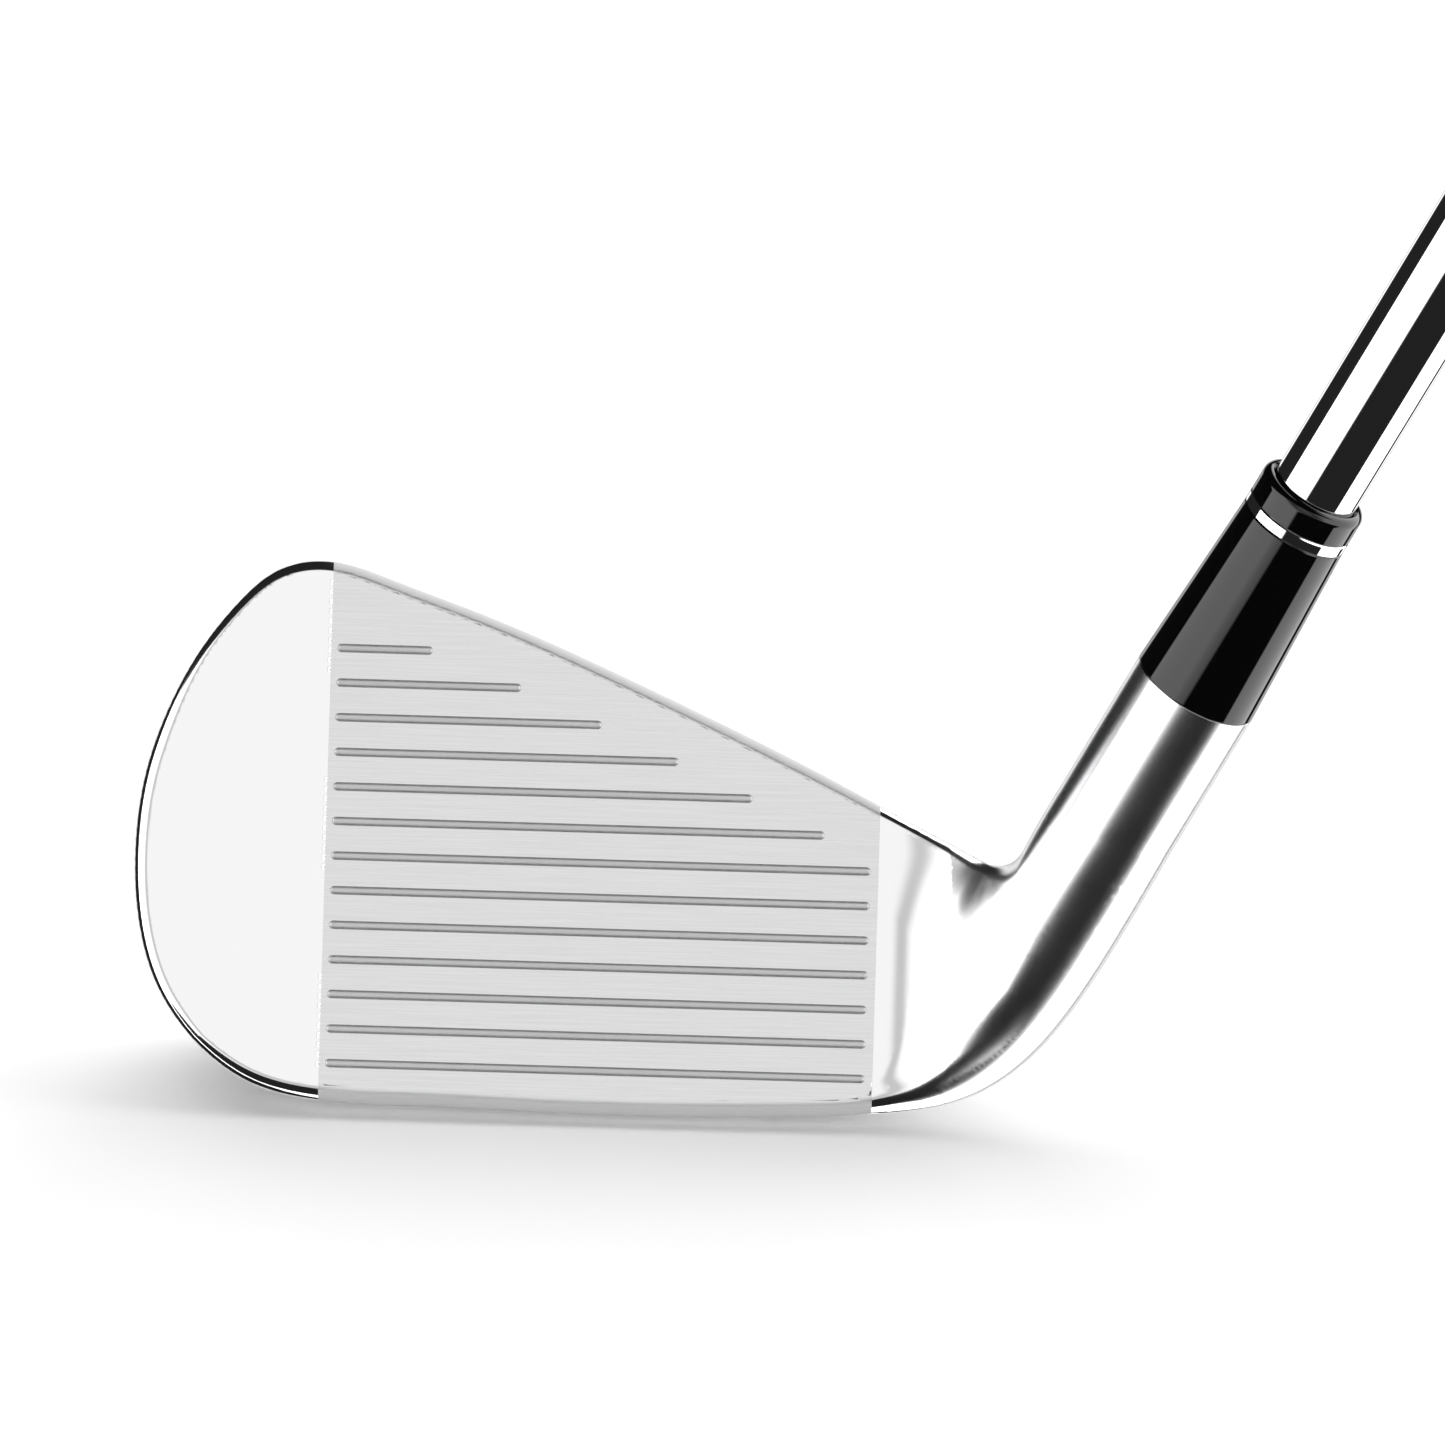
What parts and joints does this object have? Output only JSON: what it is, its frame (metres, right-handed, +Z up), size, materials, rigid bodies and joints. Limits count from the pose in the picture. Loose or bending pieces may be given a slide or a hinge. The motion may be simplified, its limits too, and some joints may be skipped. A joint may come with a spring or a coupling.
{
  "type": "iron golf club",
  "caption": "Right-handed forged iron with a grooved satin face, black ferrule with a bright ring, stepped chrome steel shaft and a black rubber grip.",
  "frame": {"origin": "on the ground, where the face plane meets it, at the middle of the long score lines, with the club soled at address", "axes": "+Z up from the ground, +X from toe to heel, +Y from the face towards the back of the head; the shaft leans towards +X"},
  "size_m": [0.5236, 0.0392, 0.8684],
  "materials": {
    "forged_head": "polished chrome with a satin milled face panel",
    "damping_pad": "soft adhesive pad",
    "badge_plate": "dark brushed plate",
    "epoxy": "cured epoxy",
    "tip_weight": "turned brass",
    "ferrule_black": "polished black",
    "trim_chrome": "polished ring",
    "shaft_chrome": "polished chrome plate",
    "band_film": "plain printed film, no text",
    "tape": "paper grip tape",
    "grip_rubber": "moulded rubber"
  },
  "bodies": {
    "club": {"head_body": "forged_head", "cavity_pad": "damping_pad", "cavity_plate": "badge_plate", "bond_sleeve": "epoxy", "tip_plug": "tip_weight", "ferrule_body": "ferrule_black", "ferrule_trim_ring": "trim_chrome", "ferrule_cap": "ferrule_black", "shaft": "shaft_chrome", "shaft_band": "band_film", "grip_tape": "tape", "grip_sleeve": "grip_rubber", "grip_end_cap": "grip_rubber"}
  },
  "joints": []
}
